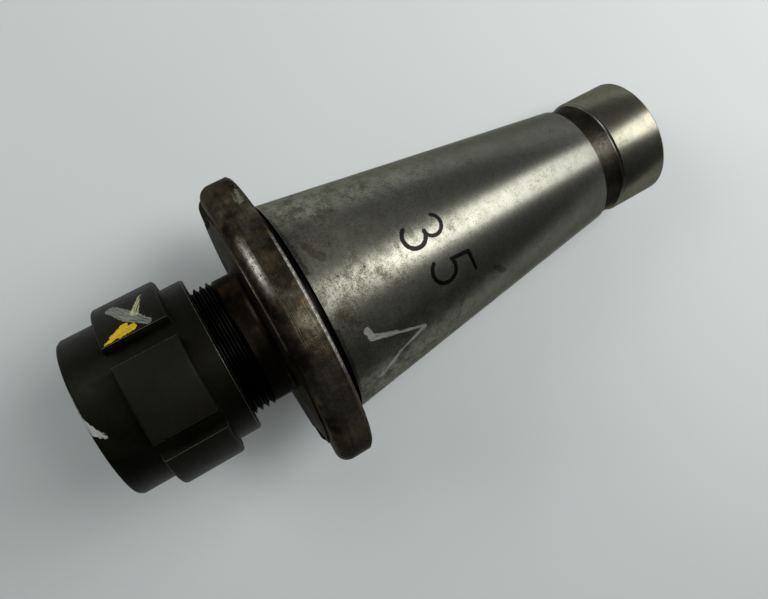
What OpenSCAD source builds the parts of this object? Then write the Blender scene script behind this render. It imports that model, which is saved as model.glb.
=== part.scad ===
// Collet chuck for a milling spindle: 7:24 shank, driving flange and a six-lug clamping nut.
// The axis of rotation is X. The origin is the centre of the gauge plane, the shank points to +X
// and the nut to -X. The two driving slots of the flange lie at +Y and -Y.

/* [Shank] */
// Diameter of the cone at the gauge plane
gauge_d = 69.85; // [60:0.05:80]
// Loss of diameter of the cone, in the same unit as its run
taper_rise = 7; // [6:0.5:8]
// Run of the cone for that loss
taper_run = 24; // [22:0.5:26]
// Length of the cone from the gauge plane to its small end
taper_len = 101.8; // [92:0.1:112]
// Diameter of the relief groove behind the cone
relief_d = 38; // [34:0.1:38.5]
// Width of the relief groove
relief_len = 8; // [6:0.1:10]
// Diameter of the pilot
pilot_d = 39.6; // [38.6:0.05:43]
// Length of the pilot
pilot_len = 17; // [14:0.1:20]
// Chamfer at both ends of the pilot
pilot_chamfer = 0.8; // [0.2:0.1:2]
// Hole for the thread of the draw bar
draw_d = 21; // [18:0.1:23]
// Depth of the hole for the draw bar, without its drill point
draw_depth = 60; // [50:1:66]
// Chamfer at the mouth of the hole for the draw bar
draw_chamfer = 1.8; // [0.5:0.1:3]

/* [Flange] */
// Gap between the gauge plane and the back face of the flange
flange_gap = 3.2; // [2:0.1:5]
// Depth of the ring cut in that gap, below the cone
gap_depth = 1.6; // [0.5:0.1:3]
// Outer diameter of the flange
flange_d = 94.2; // [88:0.1:104]
// Thickness of the flange at its root
flange_t = 11.1; // [10:0.1:14]
// Radius of the rounded front corner of the rim
rim_round = 4; // [2:0.1:5]
// Width of the ring between the rounded corner and the raised front face
front_margin = 3.5; // [1:0.1:6]
// Height of the raised front face
front_step = 0.5; // [0.2:0.1:1]
// Chamfer on the back edge of the rim
rim_chamfer = 1; // [0.3:0.1:2]
// Width of a driving slot
slot_w = 25.7; // [20:0.1:30]
// Distance from the axis to the floor of a driving slot
slot_floor = 35.3; // [34:0.1:40]

/* [Nose] */
// Step from the crests of the thread down to the neck
neck_step = 0.5; // [0.2:0.1:1]
// Length of the neck up to the thread
neck_len = 6.7; // [4:0.1:10]
// Radius of the fillet between the neck and the flange
neck_fillet = 2.2; // [1:0.1:3]
// Outer diameter of the thread for the nut
thread_d = 42; // [38:0.1:50]
// Pitch of the thread for the nut
thread_pitch = 2; // [1.5:0.1:2.5]
// Length of the threaded nose
nose_len = 29.9; // [26:0.1:36]
// Plain length at the front end of the nose, before the thread
nose_plain = 1.4; // [1.2:0.1:2]
// Chamfer on the front edge of the nose
nose_edge = 0.5; // [0.2:0.1:0.8]
// Length of the conical seat for the collet
seat_len = 32; // [29:0.5:34]
// Step from the small end of the seat down to the clearance bore behind it
relief_step = 0.35; // [0.2:0.05:1]
// Length of the clearance bore behind the seat
relief_bore_len = 10; // [7:0.5:13]
// Hole for the stop screw
stop_hole_d = 16; // [14:0.1:18]
// Length of the hole for the stop screw
stop_hole_len = 40; // [34:0.5:44]
// Passage for the key of the stop screw
key_hole_d = 10; // [9:0.1:12]

/* [Collet] */
// Overall length of the collet
collet_len = 45; // [43:0.1:47]
// Largest diameter of the collet
collet_d = 29.8; // [26:0.1:32]
// Length of the short cone at the front of the collet
collet_nose_len = 4; // [3.6:0.1:4.4]
// Step from the largest diameter down to the wide end of that short cone
collet_step = 1; // [0.6:0.1:1.4]
// Rise of the short cone, from its front end to its wide end
collet_nose_rise = 2.3; // [1.8:0.1:2.8]
// Depth of the collet's groove, from the wide end of the short cone
collet_groove_depth = 1.5; // [1.2:0.1:1.8]
// Width of the collet's groove
collet_groove_len = 3.2; // [2.9:0.1:3.5]
// Length of the plain land behind the groove
collet_land_len = 2.2; // [1:0.1:3]
// Loss of diameter of the collet's long cone, in the same unit as its run
seat_rise = 1; // [0.9:0.05:1.1]
// Run of the long cone for that loss
seat_run = 10; // [9.5:0.5:11]
// Bore of the collet, for the shank of a cutter
tool_d = 16; // [12:0.1:18]
// Width of the collet's slots
collet_slot_w = 1; // [0.6:0.1:1.4]
// Number of slots cut from each end of the collet
collet_slots = 8; // [4:1:10]
// Length of metal left uncut at the end of each slot
collet_web = 6; // [4:0.5:8]
// How far the collet stands out of the nut
collet_out = 1; // [0.2:0.1:1.4]

/* [Nut] */
// Length of thread between the neck and the back of the nut
nut_back_off = 7.7; // [5:0.1:9]
// Distance from the front of the nose to the back of the nut's chamber
nose_clear = 3.7; // [3.4:0.1:6]
// Height of the chamfer at both ends of the nut
nut_chamfer = 0.6; // [0.3:0.1:1]
// Length of the chamfer at the front end of the nut
nut_front_chamfer = 1; // [0.5:0.1:2]
// Number of lugs
lug_count = 6; // [4:1:6]
// Height of the lugs over the plain bands of the nut
lug_height = 3.6; // [2.6:0.1:5]
// Angle that one lug takes, in degrees
lug_angle = 47; // [40:1:50]
// Angle of the first lug from +Z towards -Y, in degrees
lug_phase = -3; // [-30:1:30]
// Length of a lug along the axis
lug_len = 19.3; // [17:0.1:21]
// Length of the plain band in front of the lugs
lug_start = 12; // [10:0.1:14]
// Radius of the lugs' front and back corners
lug_round = 1.1; // [0.4:0.1:2]
// Thickness of the lip at the front of the nut
lip_t = 4.2; // [4:0.1:4.6]
// Step from the nut's bore out to the wall of the chamber for the pressure ring
chamber_step = 0.35; // [0.2:0.05:1]
// Wall of the nut outside the circlip's groove
nut_wall = 2.7; // [2:0.1:5]

/* [Pressure ring and race] */
// Diameter of the balls
ball_d = 3; // [2.8:0.1:3.1]
// Number of balls
ball_count = 30; // [20:1:32]
// Clearance round a ball in its two grooves
ball_gap = 0.15; // [0.1:0.01:0.2]
// Space between the lip and the shoulder of the ring
race_gap = 1.4; // [1.2:0.1:1.6]
// Thickness of the ring's shoulder
shoulder_t = 4.4; // [4:0.1:4.6]
// Wall of the ring's front sleeve, outside the collet's largest diameter
sleeve_wall = 1.7; // [1.4:0.1:1.8]
// How far the front sleeve lies behind the face of the nut
sleeve_inset = 0.5; // [0.2:0.1:1]
// Thickness of the circlip behind the ring
clip_t = 1.2; // [1:0.1:1.4]
// Radial width of the circlip
clip_w = 3.1; // [2.6:0.1:3.4]
// Depth of the circlip's groove in the wall of the chamber
clip_groove_depth = 0.8; // [0.5:0.1:1.2]
// Length of the chamber behind the circlip
clip_land = 1.2; // [0.8:0.1:2]
// Opening of the circlip, in degrees
clip_opening = 24; // [15:1:40]
// Diameter of the two holes in the circlip's ends
clip_hole_d = 1.4; // [1:0.1:1.6]
// Diameter of the plug that closes the filling hole
plug_d = 4; // [3.8:0.1:4.2]
// Depth of the plug's outer face below the nut
plug_inset = 0.4; // [0.2:0.1:0.6]
// Length of the plug
plug_len = 2.6; // [2.2:0.1:2.8]
// Width across the flats of the plug's socket
plug_key = 2; // [1.5:0.1:2.2]
// Angle of the plug from +Z towards -Y, in degrees
plug_angle = 207; // [190:1:230]

/* [Stop screw] */
// Length of the stop screw
stop_len = 26; // [24:0.5:28]
// Distance from the back of the clearance bore to the tip of the stop screw
stop_inset = 6; // [5.2:0.1:8]
// Diameter of the stop screw's flat tip
stop_tip_d = 12; // [10:0.1:13]
// Length of the cone behind the tip
stop_tip_len = 2; // [1:0.1:3]
// Width across the flats of the stop screw's socket
stop_key = 8; // [7:0.1:8.6]
// Depth of the stop screw's socket
stop_key_depth = 8; // [6:0.1:9]

/* [Fits] */
// Radial clearance of the nut's thread, over the crests and under the roots of the nose's
thread_gap = 0.35; // [0.3:0.05:0.4]
// Axial clearance on each flank of the thread
flank_gap = 0.15; // [0.12:0.01:0.18]
// Radial clearance of the collet in its seat at rest
seat_gap = 0.45; // [0.4:0.05:0.5]
// Axial and radial clearance between the collet and the pressure ring
collet_gap = 0.1; // [0.05:0.05:0.2]
// Radial clearance of the stop screw in its hole
stop_gap = 0.05; // [0.02:0.01:0.1]
// Radial clearance of the pressure ring in the nut's lip and in its chamber
ring_gap = 0.4; // [0.3:0.05:0.5]
// Axial clearance between the pressure ring and the circlip
clip_gap = 0.4; // [0.3:0.05:0.5]

/* [Hidden] */
$fn = 96;

// Overrun of the tools that cut through a face
overrun = 0.5;
// Steps of an arc in a turned outline
arc_steps = 8;
// A metric thread's depth and the flat at its crest, as shares of the pitch
thread_depth_share = 0.6134;
crest_flat_share = 0.125;
// Slope of a metric thread's flank against a plane square to the axis
flank_angle = 30;
// Facets in one turn of a thread
helix_steps = 31;
// Part of a turn over which a thread rises out of its core
run_in_share = 0.25;
// Depth by which a thread's foot is sunk in its core, as a share of the thread's depth
sink_share = 0.25;
// Reach of the collet's lip into its groove, as a share of the groove's depth
lip_reach_share = 0.85;
// Slope of a drill point
drill_point_angle = 59;
// Corners of a key socket
socket_sides = 6;

gauge_r = gauge_d / 2;
taper_small_r = gauge_r - taper_len * taper_rise / taper_run / 2;
relief_end = taper_len + relief_len;
shank_end = relief_end + pilot_len;

flange_back = -flange_gap;
flange_front = flange_back - flange_t;
flange_r = flange_d / 2;
rim_front = flange_front + front_step;
front_r = flange_r - rim_round - front_margin;

thread_start = flange_front - neck_len;
nose_front = thread_start - nose_len;
thread_r = thread_d / 2;
thread_depth = thread_pitch * thread_depth_share;
thread_root_r = thread_r - thread_depth;
thread_sink = thread_depth * sink_share;
thread_front = nose_front + nose_plain;
neck_r = thread_r - neck_step;

nut_back = thread_start - nut_back_off;
nut_bore_r = thread_r + thread_gap;
chamber_r = nut_bore_r + chamber_step;
clip_r = chamber_r + clip_groove_depth;
nut_r = clip_r + nut_wall;
lug_r = nut_r + lug_height;

// The places of the pieces in the nut, from the back of the chamber to the face of the nut
chamber_back = nose_front - nose_clear;
clip_back = chamber_back - clip_land;
clip_front = clip_back - clip_t;
shoulder_back = clip_front - clip_gap;
shoulder_front = shoulder_back - shoulder_t;
lip_back = shoulder_front - race_gap;
nut_front = lip_back - lip_t;
sleeve_front = nut_front + sleeve_inset;

collet_r = collet_d / 2;
sleeve_r = collet_r + sleeve_wall;
lip_bore_r = sleeve_r + ring_gap;
shoulder_r = chamber_r - ring_gap;
ball_x = lip_back + race_gap / 2;
ball_circle_r = (lip_bore_r + shoulder_r) / 2;
race_r = ball_d / 2 + ball_gap;

collet_front = nut_front - collet_out;
collet_back = collet_front + collet_len;
collet_groove_front = collet_front + collet_nose_len;
collet_groove_back = collet_groove_front + collet_groove_len;
collet_cone_start = collet_groove_back + collet_land_len;
collet_nose_r = collet_r - collet_step;
collet_front_r = collet_nose_r - collet_nose_rise;
collet_groove_r = collet_nose_r - collet_groove_depth;
seat_slope = seat_rise / seat_run / 2;
collet_nose_slope = collet_nose_rise / collet_nose_len;
collet_slot_len = collet_len - collet_web;

// The nut's thread lies half a pitch off the nose's, so that one fills the other's groove
nut_thread_front = thread_front
    - thread_pitch * (floor((thread_front - chamber_back) / thread_pitch) - 1 / 2);
nut_thread_r = thread_root_r + thread_gap;

// Half the width of the nose's thread, and of the nut's, at a distance from the axis
function thread_half(r) = thread_pitch * crest_flat_share / 2 + (thread_r - r) * tan(flank_angle);
function nut_thread_half(r) = thread_pitch / 2 - thread_half(r) - flank_gap;

// Radius of the collet's long cone at a place on the axis
function collet_r_at(x) = collet_r - (x - collet_cone_start) * seat_slope;
// Radius of the short cone that the ring presses on, one clearance out from the collet
function press_r_at(x) = collet_front_r + collet_gap + (x - collet_front) * collet_nose_slope;

seat_back = nose_front + seat_len;
relief_bore_back = seat_back + relief_bore_len;
stop_hole_back = relief_bore_back + stop_hole_len;
draw_front = shank_end - draw_depth;
stop_front = relief_bore_back + stop_inset;

// Points of an arc round a centre, from one angle to another
function arc(centre, radius, from, to) = [
    for (i = [0:arc_steps])
        let (a = from + (to - from) * i / arc_steps)
            centre + radius * [cos(a), sin(a)]
];

// A solid of revolution about X from an outline of [radius, x] points
module turned(outline) {
    rotate([0, 90, 0]) rotate_extrude() polygon(outline);
}

// A cylinder along X between two places on the axis
module rod(from, to, radius) {
    translate([from, 0, 0]) rotate([0, 90, 0]) cylinder(h = to - from, r = radius);
}

// A bar along X with the given number of flats, measured across them
module flats_bar(from, to, across, sides) {
    translate([from, 0, 0]) rotate([0, 90, 0])
        cylinder(h = to - from, r = across / 2 / cos(180 / sides), $fn = sides);
}

// A right-hand thread on X: a trapezium between two radii, swept along a helix. Both its ends
// sink into the core by the shift, which is negative on a core inside the thread.
module helix(start_x, end_x, inner_r, inner_half, outer_r, outer_half, shift) {
    steps = round((end_x - start_x) / thread_pitch * helix_steps);
    run_in = helix_steps * run_in_share;
    section = [
        [inner_r, -inner_half],
        [inner_r, inner_half],
        [outer_r, outer_half],
        [outer_r, -outer_half]
    ];
    points = [
        for (i = [0:steps])
            let (turn = 360 * i / helix_steps, risen = min(1, i / run_in, (steps - i) / run_in))
                for (p = section)
                    let (r = p[0] + shift * (1 - risen))
                        [r * cos(turn), r * sin(turn), p[1] + thread_pitch * i / helix_steps]
    ];
    corners = len(section);
    sides = [
        for (i = [0:steps - 1])
            for (j = [0:corners - 1])
                let (k = (j + 1) % corners, here = i * corners, next = here + corners)
                    for (face = [[here + j, next + j, next + k], [here + j, next + k, here + k]])
                        face
    ];
    front_end = [for (j = [0:corners - 1]) j];
    back_end = [for (j = [corners - 1:-1:0]) steps * corners + j];
    translate([start_x, 0, 0]) rotate([0, 90, 0])
        polyhedron(points = points, faces = concat(sides, [front_end, back_end]));
}

// Outline of the body, from the pilot to the nose
function body_outline() = concat(
    [
        [0, shank_end],
        [pilot_d / 2 - pilot_chamfer, shank_end],
        [pilot_d / 2, shank_end - pilot_chamfer],
        [pilot_d / 2, relief_end],
        [relief_d / 2, relief_end],
        [relief_d / 2, taper_len],
        [taper_small_r, taper_len],
        [gauge_r, 0],
        [gauge_r - gap_depth, 0],
        [gauge_r - gap_depth, flange_back],
        [flange_r - rim_chamfer, flange_back],
        [flange_r, flange_back - rim_chamfer]
    ],
    arc([flange_r - rim_round, rim_front + rim_round], rim_round, 0, -90),
    [
        [front_r, rim_front],
        [front_r, flange_front]
    ],
    arc([neck_r + neck_fillet, flange_front - neck_fillet], neck_fillet, 90, 180),
    [
        [neck_r, thread_start],
        [thread_root_r, thread_start - (neck_r - thread_root_r)],
        [thread_root_r, nose_front + nose_edge],
        [thread_root_r - nose_edge, nose_front],
        [0, nose_front]
    ]
);

// The bore, from the conical seat to the mouth of the draw bar's hole
module body_bore() {
    seat_front_r = collet_r_at(nose_front) + seat_gap;
    seat_back_r = seat_front_r - seat_len * seat_slope;
    relief_bore_r = seat_back_r - relief_step;
    key_r = key_hole_d / 2;
    draw_r = draw_d / 2;
    turned([
        [0, nose_front - overrun],
        [seat_front_r + overrun * seat_slope, nose_front - overrun],
        [seat_back_r, seat_back],
        [relief_bore_r, seat_back],
        [relief_bore_r, relief_bore_back],
        [stop_hole_d / 2, relief_bore_back],
        [stop_hole_d / 2, stop_hole_back],
        [key_r, stop_hole_back],
        [key_r, draw_front - (draw_r - key_r) / tan(drill_point_angle)],
        [draw_r, draw_front],
        [draw_r, shank_end - draw_chamfer],
        [draw_r + draw_chamfer + overrun, shank_end + overrun],
        [0, shank_end + overrun]
    ]);
}

// A driving slot through the rim, on the +Y side
module drive_slot() {
    translate([flange_front - overrun, slot_floor, -slot_w / 2])
        cube([flange_t + 2 * overrun, flange_r, slot_w]);
}

module shank_body() {
    color([0.52, 0.51, 0.45]) difference() {
        union() {
            turned(body_outline());
            helix(thread_front, thread_start, thread_root_r - thread_sink, thread_half(thread_root_r),
                thread_r, thread_half(thread_r), -thread_depth - thread_sink);
        }
        body_bore();
        for (side = [0, 180])
            rotate([side, 0, 0]) drive_slot();
    }
}

// One lug, an arc of a turned outline centred on +Z
module lug() {
    lug_front = nut_front + lug_start;
    lug_back = lug_front + lug_len;
    inner_r = (nut_r + clip_r) / 2;
    rotate([0, 90, 0]) rotate([0, 0, 180 - lug_angle / 2]) rotate_extrude(angle = lug_angle)
        polygon(concat(
            [
                [inner_r, lug_back],
                [inner_r, lug_front]
            ],
            arc([lug_r - lug_round, lug_front + lug_round], lug_round, -90, 0),
            arc([lug_r - lug_round, lug_back - lug_round], lug_round, 0, 90)
        ));
}

// The groove that the balls run in, as a full ring
module race() {
    rotate([0, 90, 0]) rotate_extrude() translate([ball_circle_r, ball_x]) circle(r = race_r, $fn = 48);
}

// Places a piece on the filling hole's line, with the axis of the chuck below it
module on_plug_line() {
    rotate([plug_angle, 0, 0]) translate([ball_x, 0, 0]) children();
}

// The nut's bore, from the lip at its front to the chamfer at its back
module nut_bore() {
    turned([
        [0, nut_front - overrun],
        [lip_bore_r, nut_front - overrun],
        [lip_bore_r, lip_back],
        [chamber_r, lip_back],
        [chamber_r, clip_front],
        [clip_r, clip_front],
        [clip_r, clip_back],
        [chamber_r, clip_back],
        [chamber_r, chamber_back],
        [nut_bore_r, chamber_back],
        [nut_bore_r, nut_back - nut_chamfer],
        [nut_bore_r + nut_chamfer + overrun, nut_back + overrun],
        [0, nut_back + overrun]
    ]);
}

// The nut's metal with its bore, before its thread is added
module nut_blank() {
    difference() {
        union() {
            turned([
                [0, nut_front],
                [nut_r - nut_chamfer, nut_front],
                [nut_r, nut_front + nut_front_chamfer],
                [nut_r, nut_back - nut_chamfer],
                [nut_r - nut_chamfer, nut_back],
                [0, nut_back]
            ]);
            for (i = [0:lug_count - 1])
                rotate([lug_phase + i * 360 / lug_count, 0, 0]) lug();
        }
        nut_bore();
        race();
        on_plug_line() cylinder(h = nut_r, r = plug_d / 2);
    }
}

module clamping_nut() {
    color([0.07, 0.07, 0.06]) union() {
        nut_blank();
        helix(nut_thread_front, nut_back - thread_pitch, nut_thread_r, nut_thread_half(nut_thread_r),
            nut_bore_r + thread_sink, nut_thread_half(nut_bore_r), thread_depth + thread_sink);
    }
}

module race_plug() {
    plug_top = nut_r - plug_inset;
    color([0.12, 0.12, 0.11]) on_plug_line() difference() {
        translate([0, 0, plug_top - plug_len]) cylinder(h = plug_len, r = plug_d / 2);
        translate([0, 0, plug_top - plug_len / 2])
            cylinder(h = plug_len, r = plug_key / 2 / cos(180 / socket_sides), $fn = socket_sides);
    }
}

module circlip() {
    hole_circle_r = clip_r - clip_w / 2;
    hole_turn = clip_opening / 2 + asin(clip_hole_d / hole_circle_r);
    color([0.2, 0.2, 0.19]) translate([clip_front, 0, 0]) rotate([0, 90, 0]) difference() {
        rotate([0, 0, clip_opening / 2]) rotate_extrude(angle = 360 - clip_opening)
            translate([clip_r - clip_w, 0]) square([clip_w, clip_t]);
        for (turn = [hole_turn, -hole_turn])
            rotate([0, 0, turn]) translate([hole_circle_r, 0, -overrun])
                cylinder(h = clip_t + 2 * overrun, r = clip_hole_d / 2, $fn = 32);
    }
}

module pressure_ring() {
    lip_front = collet_groove_front + collet_gap;
    lip_rear = collet_groove_back - collet_gap;
    lip_r = collet_nose_r - collet_groove_depth * lip_reach_share;
    color([0.35, 0.35, 0.33]) difference() {
        turned([
            [press_r_at(sleeve_front), sleeve_front],
            [sleeve_r, sleeve_front],
            [sleeve_r, shoulder_front],
            [shoulder_r, shoulder_front],
            [shoulder_r, shoulder_back],
            [collet_r + collet_gap, shoulder_back],
            [collet_r + collet_gap, lip_rear],
            [lip_r, lip_rear],
            [lip_r, lip_front],
            [press_r_at(lip_front), lip_front]
        ]);
        race();
    }
}

module thrust_balls() {
    color([0.75, 0.75, 0.74])
        for (i = [0:ball_count - 1])
            rotate([i * 360 / ball_count, 0, 0]) translate([ball_x, 0, ball_circle_r])
                sphere(d = ball_d, $fn = 24);
}

// One slot of the collet between two places on the axis, on the +Z side
module collet_slot(from, to) {
    translate([from, -collet_slot_w / 2, 0]) cube([to - from, collet_slot_w, collet_d]);
}

module spring_collet() {
    color([0.42, 0.41, 0.38]) difference() {
        turned([
            [0, collet_front],
            [collet_front_r, collet_front],
            [collet_nose_r, collet_groove_front],
            [collet_groove_r, collet_groove_front],
            [collet_groove_r, collet_groove_back],
            [collet_r, collet_groove_back],
            [collet_r, collet_cone_start],
            [collet_r_at(collet_back), collet_back],
            [0, collet_back]
        ]);
        rod(collet_front - overrun, collet_back + overrun, tool_d / 2);
        for (i = [0:collet_slots - 1])
            rotate([i * 360 / collet_slots, 0, 0])
                collet_slot(collet_front - overrun, collet_front + collet_slot_len);
        for (i = [0:collet_slots - 1])
            rotate([(i + 0.5) * 360 / collet_slots, 0, 0])
                collet_slot(collet_back - collet_slot_len, collet_back + overrun);
    }
}

module stop_screw() {
    stop_r = stop_hole_d / 2 - stop_gap;
    stop_back = stop_front + stop_len;
    color([0.3, 0.3, 0.29]) difference() {
        turned([
            [0, stop_front],
            [stop_tip_d / 2, stop_front],
            [stop_r, stop_front + stop_tip_len],
            [stop_r, stop_back - stop_gap],
            [stop_r - stop_gap, stop_back],
            [0, stop_back]
        ]);
        flats_bar(stop_back - stop_key_depth, stop_back + overrun, stop_key, socket_sides);
    }
}

shank_body();
clamping_nut();
race_plug();
circlip();
pressure_ring();
thrust_balls();
spring_collet();
stop_screw();
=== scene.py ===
"""Looks of a collet chuck with a 7:24 shank: its turned body, its lugged nut and what they hold.

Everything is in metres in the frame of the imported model: the axis of rotation is X, the pilot
points to +X and the face of the nut to -X.
"""

import logging
import math
from dataclasses import dataclass, field
from enum import Enum
from typing import Callable, Iterable, Sequence, Tuple, Union

import bmesh
import bpy
from mathutils import Matrix, Vector

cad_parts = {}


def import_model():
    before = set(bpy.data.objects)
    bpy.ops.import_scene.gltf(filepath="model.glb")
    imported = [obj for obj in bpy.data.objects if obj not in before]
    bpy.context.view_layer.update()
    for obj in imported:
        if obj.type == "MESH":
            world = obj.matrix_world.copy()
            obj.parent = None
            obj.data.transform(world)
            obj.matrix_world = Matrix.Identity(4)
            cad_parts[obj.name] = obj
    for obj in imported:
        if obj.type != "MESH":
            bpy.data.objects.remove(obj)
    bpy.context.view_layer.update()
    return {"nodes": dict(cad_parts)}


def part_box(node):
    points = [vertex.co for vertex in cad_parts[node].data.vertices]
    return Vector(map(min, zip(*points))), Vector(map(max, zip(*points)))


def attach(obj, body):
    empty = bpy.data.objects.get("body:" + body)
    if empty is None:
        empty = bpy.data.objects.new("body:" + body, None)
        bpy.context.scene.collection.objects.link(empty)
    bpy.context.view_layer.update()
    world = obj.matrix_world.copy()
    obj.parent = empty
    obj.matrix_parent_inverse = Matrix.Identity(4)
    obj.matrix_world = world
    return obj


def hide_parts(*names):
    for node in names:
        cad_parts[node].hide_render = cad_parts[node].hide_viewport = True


log = logging.getLogger("chuck")

MM = 0.001
WELD = 0.002 * MM
FULL_TURN = 2 * math.pi

Colour = Tuple[float, float, float, float]
Point = Tuple[float, float]
Place = Tuple[float, float, float]
Socket = bpy.types.NodeSocket
Value = Union[Socket, float, Sequence[float]]


def colour(red: float, green: float, blue: float) -> Colour:
    """A linear colour with full opacity."""
    return (red, green, blue, 1.0)


# Meshes


def arc(centre: Point, radius: float, start: float, end: float, steps: int) -> list[Point]:
    """Points of an arc in the (x, radius) plane.

    Args:
        centre: Centre of the arc.
        radius: Radius of the arc.
        start: First angle in degrees, from +x towards growing radius.
        end: Last angle in degrees.
        steps: Number of chords.

    Returns:
        The points, both ends included.
    """
    turns = [math.radians(start + (end - start) * i / steps) for i in range(steps + 1)]
    return [(centre[0] + radius * math.cos(t), centre[1] + radius * math.sin(t)) for t in turns]


def add_chain(bm: bmesh.types.BMesh, outline: Sequence[Point]) -> list:
    """Adds an outline of (x, radius) points under the axis as vertices and edges."""
    verts = [bm.verts.new((x, 0.0, -radius)) for x, radius in outline]
    return verts + [bm.edges.new(pair) for pair in zip(verts, verts[1:])]


def spin(
    bm: bmesh.types.BMesh,
    geometry: list,
    steps: int,
    angle: float = FULL_TURN,
    advance: float = 0.0,
    merge: bool = False,
) -> None:
    """Spins vertices, edges and faces about X.

    Args:
        bm: Mesh that holds them.
        geometry: What is spun.
        steps: Steps of the whole spin.
        angle: Angle of the whole spin.
        advance: Way along X of one step.
        merge: Whether the last step joins the first.
    """
    bmesh.ops.spin(
        bm,
        geom=geometry,
        cent=(0, 0, 0),
        axis=(1, 0, 0),
        dvec=(advance, 0, 0),
        angle=angle,
        steps=steps,
        use_merge=merge,
        use_duplicate=False,
    )


def pour(source: bmesh.types.BMesh, bm: bmesh.types.BMesh) -> None:
    """Adds one mesh to another, and frees the one that is added."""
    mesh = bpy.data.meshes.new("poured")
    source.to_mesh(mesh)
    source.free()
    bm.from_mesh(mesh)
    bpy.data.meshes.remove(mesh)


def weld(bm: bmesh.types.BMesh) -> None:
    """Joins the surfaces of a mesh into a closed one that faces outwards."""
    bmesh.ops.remove_doubles(bm, verts=bm.verts, dist=WELD)
    bmesh.ops.recalc_face_normals(bm, faces=bm.faces)


def piece(name: str, bm: bmesh.types.BMesh, smooth_under: float = 32.0) -> bpy.types.Object:
    """Makes an object of a finished mesh, shaded smooth up to an angle.

    Args:
        name: Name of the piece.
        bm: Its mesh, which is freed.
        smooth_under: Largest angle in degrees that still shades smooth.

    Returns:
        The object, linked to the scene.
    """
    mesh = bpy.data.meshes.new(name)
    bm.to_mesh(mesh)
    bm.free()
    mesh.shade_smooth()
    mesh.set_sharp_from_angle(angle=math.radians(smooth_under))
    made = bpy.data.objects.new(name, mesh)
    bpy.context.scene.collection.objects.link(made)
    return made


def combine(bm: bmesh.types.BMesh, tool: bmesh.types.BMesh, operation: str) -> bmesh.types.BMesh:
    """Adds a tool's solid to a mesh, or cuts it out of the mesh.

    Args:
        bm: Closed mesh that is changed; it is freed.
        tool: Closed mesh of the tool; it is freed.
        operation: UNION or DIFFERENCE.

    Returns:
        The new mesh.
    """
    body = piece("body_blank", bm)
    other = piece("body_tool", tool)
    step = body.modifiers.new("combine", "BOOLEAN")
    step.operation = operation
    step.solver = "EXACT"
    step.object = other
    graph = bpy.context.evaluated_depsgraph_get()
    result = bmesh.new()
    result.from_mesh(body.evaluated_get(graph).to_mesh())
    for mesh in (body.data, other.data):
        bpy.data.meshes.remove(mesh)
    return result


def break_edges(
    bm: bmesh.types.BMesh,
    width: float,
    chosen: Callable[[bmesh.types.BMEdge], bool],
    kept: Callable[[Vector], bool] = lambda place: False,
) -> None:
    """Breaks the sharp outer edges that a test picks, and marks the new strips as worn.

    Args:
        bm: Mesh to change.
        width: Width cut back on each side of an edge.
        chosen: Says whether an edge is broken.
        kept: Says whether a strip keeps its finish, so that it isn't marked.
    """
    sharp = math.radians(35)
    worn = bm.faces.layers.float.get("worn_edge") or bm.faces.layers.float.new("worn_edge")
    edges = [
        e
        for e in bm.edges
        if e.is_manifold and e.is_convex and e.calc_face_angle(0.0) > sharp and chosen(e)
    ]
    result = bmesh.ops.bevel(
        bm,
        geom=edges,
        offset=width,
        offset_type="OFFSET",
        segments=2,
        profile=0.5,
        affect="EDGES",
        clamp_overlap=True,
        material=-1,
    )
    for face in result["faces"]:
        face[worn] = 0.0 if kept(face.calc_center_median()) else 1.0


def middle(edge: bmesh.types.BMEdge) -> Vector:
    """Centre of an edge."""
    return (edge.verts[0].co + edge.verts[1].co) / 2


def off_axis(place: Vector) -> float:
    """Distance of a place from the axis of rotation."""
    return math.hypot(place.y, place.z)


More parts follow.
